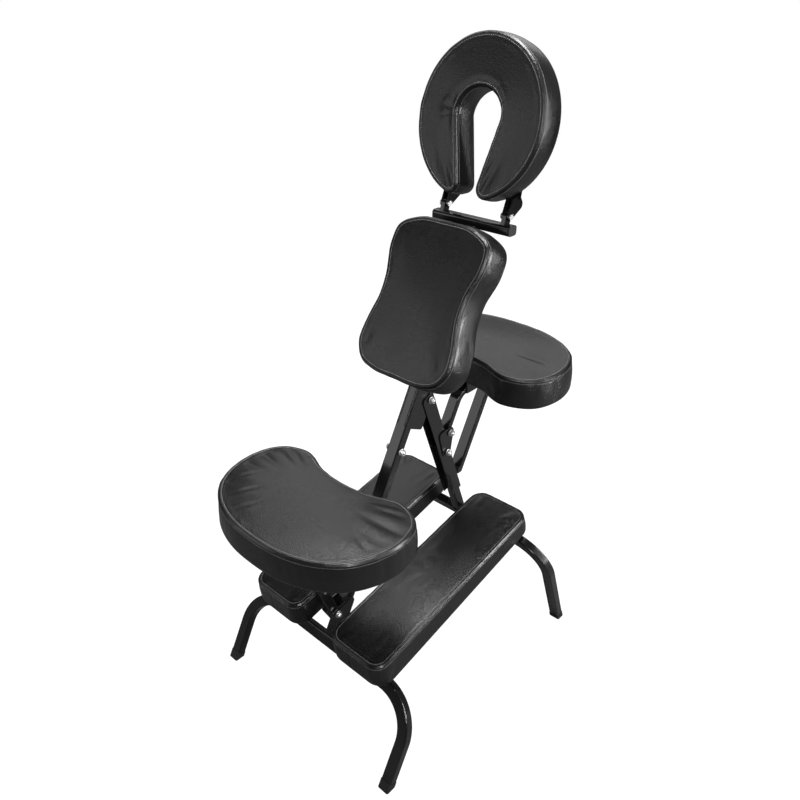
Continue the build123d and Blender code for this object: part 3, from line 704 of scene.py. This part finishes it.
def bolt_parts(place, grip):
    """Button head at -X, washers and a lock nut at +X. Returns zinc parts and the nylon ring."""
    head = [(-0.0045, 0.0001), (-0.0045, 0.0024), (-0.0064, 0.0026), (-0.0064, 0.0032), (-0.0061, 0.0045),
            (-0.0052, 0.0058), (-0.0038, 0.0067), (-0.0022, 0.0070), (-0.0017, 0.0070), (-0.0015, 0.0030)]
    head = [(max(a, -0.0060) - grip, b) for a, b in head]
    washer = [(0.0, 0.0042), (0.0, 0.0077), (0.0003, 0.0080), (0.0012, 0.0080), (0.0015, 0.0077),
              (0.0015, 0.0042)]
    nut = [(0.0016, 0.0045), (0.0016, 0.0068), (0.0020, 0.0072), (0.0060, 0.0072), (0.0064, 0.0068),
           (0.0068, 0.0060), (0.0080, 0.0057), (0.0083, 0.0052), (0.0083, 0.0046), (0.0072, 0.0045)]
    ring = [(0.0060, 0.0030), (0.0060, 0.0046), (0.0079, 0.0046), (0.0079, 0.0034), (0.0079, 0.0030)]
    end = [(-0.004, 0.0040), (0.0078, 0.0040), (0.0090, 0.0034), (0.0098, 0.0028)]
    shank = [(-grip - 0.0015, 0.0040), (grip + 0.0016, 0.0040)]
    zinc_parts = [lathe(head, place), lathe([(a - grip - 0.0015, b) for a, b in washer], place),
                  lathe([(a + grip, b) for a, b in washer], place),
                  lathe([(a + grip, b) for a, b in nut], place, 48, 1.0),
                  lathe([(a + grip, b) for a, b in end], place), lathe(shank, place)]
    return gather(zinc_parts), gather([lathe([(a + grip, b) for a, b in ring], place)])


BOLTS = {"mast_stop_bolt": "front_frame", "strut_pivot_bolt": "front_frame", "seat_pivot_bolt": "front_frame",
         "stay_pivot_bolt": "front_frame", "arm_bracket_bolt": "rear_frame", "arm_pivot_bolt": "rear_frame"}
fittings, nylon_rings = [], []
for node, body in BOLTS.items():
    low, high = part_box(node)
    place = (0.0, (low[1] + high[1]) / 2, (low[2] + high[2]) / 2)
    metal, nylon = bolt_parts(place, -low[0] - 0.0061)
    piece, ring = make_mesh(node + "_set", *metal), make_mesh(node + "_nylon", *nylon)
    for part, slot_name in ((piece, "zinc"), (ring, "plastic")):
        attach(part, body)
    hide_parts(node)
    fittings.append(piece)
    nylon_rings.append(ring)
print("bolt sets:", len(fittings))

# %% [markdown]
# ## Weld beads
# Wherever two tubes or a plate and a tube meet, the real frame has a bead of weld under its
# paint. A bead is a low ridge of overlapping drops, so each one here is a thin tube whose
# radius rises and falls along its length. Beads ride with the tubes they join.

# %% Lay the beads
def bead(start, end, radius=0.0022, drop=0.0030):
    """Tube from start to end whose radius rises and falls once for each drop."""
    start, end = np.array(start, float), np.array(end, float)
    length = np.linalg.norm(end - start)
    ahead = (end - start) / length
    side = np.cross(ahead, (0.3, 0.5, 0.81))
    side /= np.linalg.norm(side)
    up = np.cross(ahead, side)
    steps = max(8, int(length / drop * 5))
    points, faces, sides = [], [], 10
    for i in range(steps + 1):
        share = i / steps
        ends = min(1.0, 14 * share + 0.1, 14 * (1 - share) + 0.1)
        size = radius * ends * (0.86 + 0.14 * abs(math.sin(math.pi * share * length / drop)))
        for k in range(sides):
            turn = 2 * math.pi * k / sides
            spoke = math.cos(turn) * side + math.sin(turn) * up
            points.append(start + ahead * share * length + size * spoke)
    for i in range(steps):
        for k in range(sides):
            a, b = i * sides + k, i * sides + (k + 1) % sides
            faces.append((a, b, b + sides, a + sides))
    faces.append(tuple(reversed(range(sides))))
    faces.append(tuple(range(steps * sides, (steps + 1) * sides)))
    return [tuple(p) for p in points], faces


def tube_frame(node, direction):
    """Corners of a tube in axes along it: lowest and highest (x, along, off)."""
    turn = np.array([(1, 0, 0), direction, np.cross((1, 0, 0), direction)])
    points = node_points(node) @ turn.T
    return turn, points.min(0), points.max(0)


def foot_beads(node, direction):
    """Four beads round the foot of a tube that stands on a crossbar."""
    turn, low, high = tube_frame(node, np.array(direction))
    s = low[1] + 0.0006
    corners = [(low[0], s, low[2]), (high[0], s, low[2]), (high[0], s, high[2]), (low[0], s, high[2])]
    world = [turn.T @ np.array(corner) for corner in corners]
    return [bead(world[k], world[(k + 1) % 4]) for k in (1, 3, 0, 2)]


STRUT_DIRECTION = (0, math.sin(math.radians(-20.6)), math.cos(math.radians(-20.6)))
mast_turn, _, mast_high = tube_frame("mast_tube", np.array(MAST_DIRECTION))
_, bracket_low, bracket_high = tube_frame("strut_bracket", np.array(MAST_DIRECTION))
mast_beads = foot_beads("mast_tube", MAST_DIRECTION)
bracket_ends = (bracket_low[1] + 0.004, bracket_high[1] - 0.004)
for x in (bracket_low[0], bracket_high[0]):
    ends = [mast_turn.T @ np.array((x, s, mast_high[2])) for s in bracket_ends]
    mast_beads.append(bead(*ends))
mast_weld = make_mesh("mast_welds", *gather(mast_beads))
strut_weld = make_mesh("strut_welds", *gather(foot_beads("rear_strut", STRUT_DIRECTION)))
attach(mast_weld, "front_frame")
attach(strut_weld, "rear_frame")
print("weld beads have", len(mast_weld.data.polygons) + len(strut_weld.data.polygons), "faces")

# %% [markdown]
# ## Effects shared by the finishes
# Several finishes need the same effects: fine grain, slow drift in colour, tiny scratches.
# Each effect is a shader node group, built once, with its own named inputs. A group gives
# out only numbers and colours. The shader itself stays in each material.

# %% Node group helpers
def new_group(name, inputs, outputs):
    """Shader node group with float inputs and the given outputs. Returns its tree and two end nodes."""
    tree = bpy.data.node_groups.new(name, "ShaderNodeTree")
    for label, value in inputs.items():
        socket = tree.interface.new_socket(name=label, in_out="INPUT", socket_type="NodeSocketFloat")
        socket.default_value = value
    for label, kind in outputs.items():
        tree.interface.new_socket(name=label, in_out="OUTPUT", socket_type=kind)
    start, end = tree.nodes.new("NodeGroupInput"), tree.nodes.new("NodeGroupOutput")
    return tree, start, end


def math_node(tree, operation, first, second=None, third=None):
    """Math node with each input linked or set. Returns its output."""
    node = tree.nodes.new("ShaderNodeMath")
    node.operation = operation
    for socket, value in zip(node.inputs, (first, second, third)):
        if isinstance(value, bpy.types.NodeSocket):
            tree.links.new(value, socket)
        elif value is not None:
            socket.default_value = value
    return node.outputs[0]


def noise_node(tree, scale, detail=3.0, rough=0.55, vector=None):
    node = tree.nodes.new("ShaderNodeTexNoise")
    node.inputs["Detail"].default_value = detail
    node.inputs["Roughness"].default_value = rough
    if vector is not None:
        tree.links.new(vector, node.inputs["Vector"])
    if isinstance(scale, bpy.types.NodeSocket):
        tree.links.new(scale, node.inputs["Scale"])
    else:
        node.inputs["Scale"].default_value = scale
    return node.outputs["Fac"]


def object_place(tree):
    return tree.nodes.new("ShaderNodeTexCoord").outputs["Object"]

# %% Grain group: pebbled height, and shine that follows it
grain, start, end = new_group(
    "pebble grain", {"Scale": 620.0, "Fine": 0.35, "Roughness": 0.42, "Spread": 0.14},
    {"Height": "NodeSocketFloat", "Roughness": "NodeSocketFloat"})
place = object_place(grain)
pebble = grain.nodes.new("ShaderNodeTexVoronoi")
pebble.feature = "SMOOTH_F1"
grain.links.new(place, pebble.inputs["Vector"])
grain.links.new(start.outputs["Scale"], pebble.inputs["Scale"])
pebble.inputs["Smoothness"].default_value = 0.6
fine_scale = math_node(grain, "MULTIPLY", start.outputs["Scale"], 2.3)
fine = noise_node(grain, fine_scale, 2.0, 0.6, place)
slow = noise_node(grain, 9.0, 3.0, 0.5, place)
body = math_node(grain, "SUBTRACT", 1.0, pebble.outputs["Distance"])
height = math_node(grain, "MULTIPLY_ADD", fine, start.outputs["Fine"], body)
drift = math_node(grain, "SUBTRACT", slow, 0.5)
valley = math_node(grain, "MULTIPLY", math_node(grain, "SUBTRACT", fine, 0.5), 0.35)
shine = math_node(grain, "MULTIPLY", math_node(grain, "ADD", drift, valley), start.outputs["Spread"])
shine = math_node(grain, "ADD", shine, start.outputs["Roughness"])
grain.links.new(height, end.inputs["Height"])
grain.links.new(shine, end.inputs["Roughness"])
print("grain group nodes:", len(grain.nodes))

# %% Handling group: slow colour drift and fine scratches
handling, start, end = new_group(
    "handling marks", {"Lightness": 0.012, "Drift": 0.4, "Roughness": 0.2, "Scratches": 0.1},
    {"Colour": "NodeSocketColor", "Roughness": "NodeSocketFloat", "Height": "NodeSocketFloat"})
place = object_place(handling)
cloud = noise_node(handling, 14.0, 4.0, 0.55, place)
stretch = handling.nodes.new("ShaderNodeMapping")
stretch.inputs["Scale"].default_value = (1.0, 9.0, 9.0)
handling.links.new(place, stretch.inputs["Vector"])
hair = noise_node(handling, 90.0, 2.0, 0.7, stretch.outputs["Vector"])
mask = math_node(handling, "POWER", math_node(handling, "MULTIPLY", hair, 1.25), 9.0)
drift = math_node(handling, "SUBTRACT", cloud, 0.5)
tone = math_node(handling, "MULTIPLY_ADD", drift, start.outputs["Drift"], 1.0)
tone = math_node(handling, "MULTIPLY", tone, start.outputs["Lightness"])
mixed = handling.nodes.new("ShaderNodeCombineColor")
for socket in mixed.inputs[:3]:
    handling.links.new(tone, socket)
rub = math_node(handling, "MULTIPLY", mask, start.outputs["Scratches"])
rough = math_node(handling, "ADD", math_node(handling, "ADD", start.outputs["Roughness"], rub),
                  math_node(handling, "MULTIPLY", drift, 0.12))
peel = noise_node(handling, 260.0, 1.0, 0.4, place)
handling.links.new(mixed.outputs["Color"], end.inputs["Colour"])
handling.links.new(rough, end.inputs["Roughness"])
handling.links.new(math_node(handling, "MULTIPLY_ADD", mask, -0.3, peel), end.inputs["Height"])
print("handling group nodes:", len(handling.nodes))

# %% [markdown]
# ## The finishes
# A finish is a plain material whose colour, roughness and bump come from the groups. The
# pads are a semi-gloss coated cloth with a pebbled grain. The frame is gloss black powder
# coat, which has a faint orange-peel surface. Bolts are zinc, feet and caps are matt rubber
# and the hand knobs are a satin moulding.

# %% Materials
def finish(name, group, values, bump, distance, metal=0.0, coat=0.0, coat_rough=0.15, ior=1.5, colour=None):
    """Material with one effect group feeding its colour, roughness and bump."""
    material = bpy.data.materials.new(name)
    material.use_nodes = True
    tree = material.node_tree
    shader = tree.nodes["Principled BSDF"]
    effect = tree.nodes.new("ShaderNodeGroup")
    effect.node_tree = group
    for label, value in values.items():
        effect.inputs[label].default_value = value
    relief = tree.nodes.new("ShaderNodeBump")
    relief.inputs["Strength"].default_value = bump
    relief.inputs["Distance"].default_value = distance
    tree.links.new(effect.outputs["Height"], relief.inputs["Height"])
    tree.links.new(relief.outputs["Normal"], shader.inputs["Normal"])
    tree.links.new(effect.outputs["Roughness"], shader.inputs["Roughness"])
    shader.inputs["Metallic"].default_value = metal
    shader.inputs["Coat Weight"].default_value = coat
    shader.inputs["Coat Roughness"].default_value = coat_rough
    shader.inputs["IOR"].default_value = ior
    if colour is None:
        tree.links.new(effect.outputs["Colour"], shader.inputs["Base Color"])
    else:
        tones = tree.nodes.new("ShaderNodeTexNoise")
        tones.inputs["Scale"].default_value = 22.0
        place = tree.nodes.new("ShaderNodeTexCoord")
        tree.links.new(place.outputs["Object"], tones.inputs["Vector"])
        ramp = tree.nodes.new("ShaderNodeValToRGB")
        ramp.color_ramp.elements[0].position, ramp.color_ramp.elements[1].position = 0.3, 0.7
        ramp.color_ramp.elements[0].color = (*[c * 0.85 for c in colour], 1)
        ramp.color_ramp.elements[1].color = (*[min(1, c * 1.15) for c in colour], 1)
        tree.links.new(tones.outputs["Fac"], ramp.inputs["Fac"])
        tree.links.new(ramp.outputs["Color"], shader.inputs["Base Color"])
    return material


cover = finish("black grained cover", grain, {"Scale": 430, "Roughness": 0.30, "Spread": 0.34}, 0.7, 0.0007,
               coat=0.30, coat_rough=0.16, colour=(0.006, 0.006, 0.0064))
thread_finish = finish("grey bonded thread", grain, {"Scale": 2600, "Roughness": 0.42, "Spread": 0.1},
                       0.5, 0.0002, colour=(0.30, 0.30, 0.305))
dust_finish = finish("black dust cloth", grain, {"Scale": 900, "Fine": 1.0, "Roughness": 0.88, "Spread": 0.1},
                     0.6, 0.0005, colour=(0.018, 0.018, 0.019))
powder = finish("gloss black powder coat", handling,
                {"Lightness": 0.0065, "Drift": 0.4, "Roughness": 0.20, "Scratches": 0.12}, 0.12, 0.0003,
                coat=0.6, coat_rough=0.06)
zinc = finish("bright zinc plate", handling,
              {"Lightness": 0.88, "Drift": 0.2, "Roughness": 0.40, "Scratches": 0.2}, 0.15, 0.0002, metal=1.0)
rubber = finish("matt black rubber", handling,
                {"Lightness": 0.016, "Drift": 0.5, "Roughness": 0.62, "Scratches": 0.1}, 0.35, 0.0004)
moulding = finish("satin black moulding", grain,
                  {"Scale": 1500, "Fine": 0.6, "Roughness": 0.38, "Spread": 0.1}, 0.25, 0.0002,
                  colour=(0.016, 0.016, 0.017))


def wear(piece, material):
    piece.data.materials.clear()
    piece.data.materials.append(material)


for name in pads:
    wear(pads[name], cover)
    wear(threads[name], thread_finish)
    wear(cloths[name], dust_finish)
    wear(staples[name], zinc)
for part in fittings:
    wear(part, zinc)
for part in nylon_rings:
    wear(part, moulding)
wear(mast_weld, powder)
wear(strut_weld, powder)
BY_SLOT = {"steel": powder, "zinc": zinc, "rubber": rubber, "plastic": moulding, "board": powder,
           "padding": cover}
for part in frame["record"]["subparts"]:
    wear(frame["nodes"][part["node"]], BY_SLOT[part["material_slot"]])
print("finishes:", len(bpy.data.materials))

# %% [markdown]
# ## Floor and light
# Black covering shows almost nothing but reflections, so it is lit by large soft panels and
# each edge catches one: overhead for the sheen on the tops, at the sides for the edges. The
# floor is seen as bright white, but it must not throw that much light back up, or black
# paint turns grey. Light Path tells the two apart: the camera sees the bright colour and
# every other ray sees a much darker one. The surroundings work in the same way.

# %% Floor and lights
FLOOR_HALF, FLOOR_LEVEL = 9, -0.0015
corners = [(x * FLOOR_HALF, y * FLOOR_HALF, FLOOR_LEVEL) for x, y in ((-1, -1), (1, -1), (1, 1), (-1, 1))]
floor = make_mesh("floor", corners, [(0, 1, 2, 3)])
paper = finish("white studio paper", handling,
               {"Lightness": 0.16, "Drift": 0.02, "Roughness": 0.9, "Scratches": 0.0}, 0.02, 0.0002)
tree = paper.node_tree
seen = tree.nodes.new("ShaderNodeLightPath")
glow = tree.nodes.new("ShaderNodeMix")
glow.data_type = "RGBA"
glow.inputs["A"].default_value = (0.0, 0.0, 0.0, 1)
glow.inputs["B"].default_value = (0.985, 0.985, 0.985, 1)
tree.links.new(seen.outputs["Is Camera Ray"], glow.inputs["Factor"])
tree.links.new(glow.outputs["Result"], tree.nodes["Principled BSDF"].inputs["Emission Color"])
tree.nodes["Principled BSDF"].inputs["Emission Strength"].default_value = 1.0
tree.nodes["Principled BSDF"].inputs["Specular IOR Level"].default_value = 0.0
wear(floor, paper)


def soft_light(name, place, target, wide, tall, power):
    data = bpy.data.lights.new(name, "AREA")
    data.shape, data.size, data.size_y, data.energy = "RECTANGLE", wide, tall, power
    lamp = bpy.data.objects.new(name, data)
    lamp.location = place
    scene.collection.objects.link(lamp)
    aim(lamp, target)
    return lamp


soft_light("back panel", (-1.5, 1.9, 2.7), (0, 0, 0.6), 3.0, 2.2, 22)
soft_light("top panel", (-0.1, 0.1, 3.0), (0, 0, 0.5), 1.0, 1.0, 62)
soft_light("edge panel", (2.2, 1.3, 1.3), (0, 0, 0.6), 0.35, 2.0, 60)
soft_light("front panel", (-1.9, -2.4, 1.2), (0, 0, 0.9), 1.6, 1.8, 11)
soft_light("near panel", (2.3, -1.6, 2.0), (0, 0, 0.6), 0.4, 1.2, 38)
world = bpy.data.worlds.new("studio")
scene.world = world
world.use_nodes = True
tree = world.node_tree
seen = tree.nodes.new("ShaderNodeLightPath")
sky = tree.nodes.new("ShaderNodeMix")
sky.data_type = "RGBA"
sky.inputs["A"].default_value = (0.07, 0.07, 0.07, 1)
sky.inputs["B"].default_value = (1, 1, 1, 1)
tree.links.new(seen.outputs["Is Camera Ray"], sky.inputs["Factor"])
tree.links.new(sky.outputs["Result"], tree.nodes["Background"].inputs["Color"])
scene.view_settings.view_transform = "Standard"
print("lights:", len(bpy.data.lights))
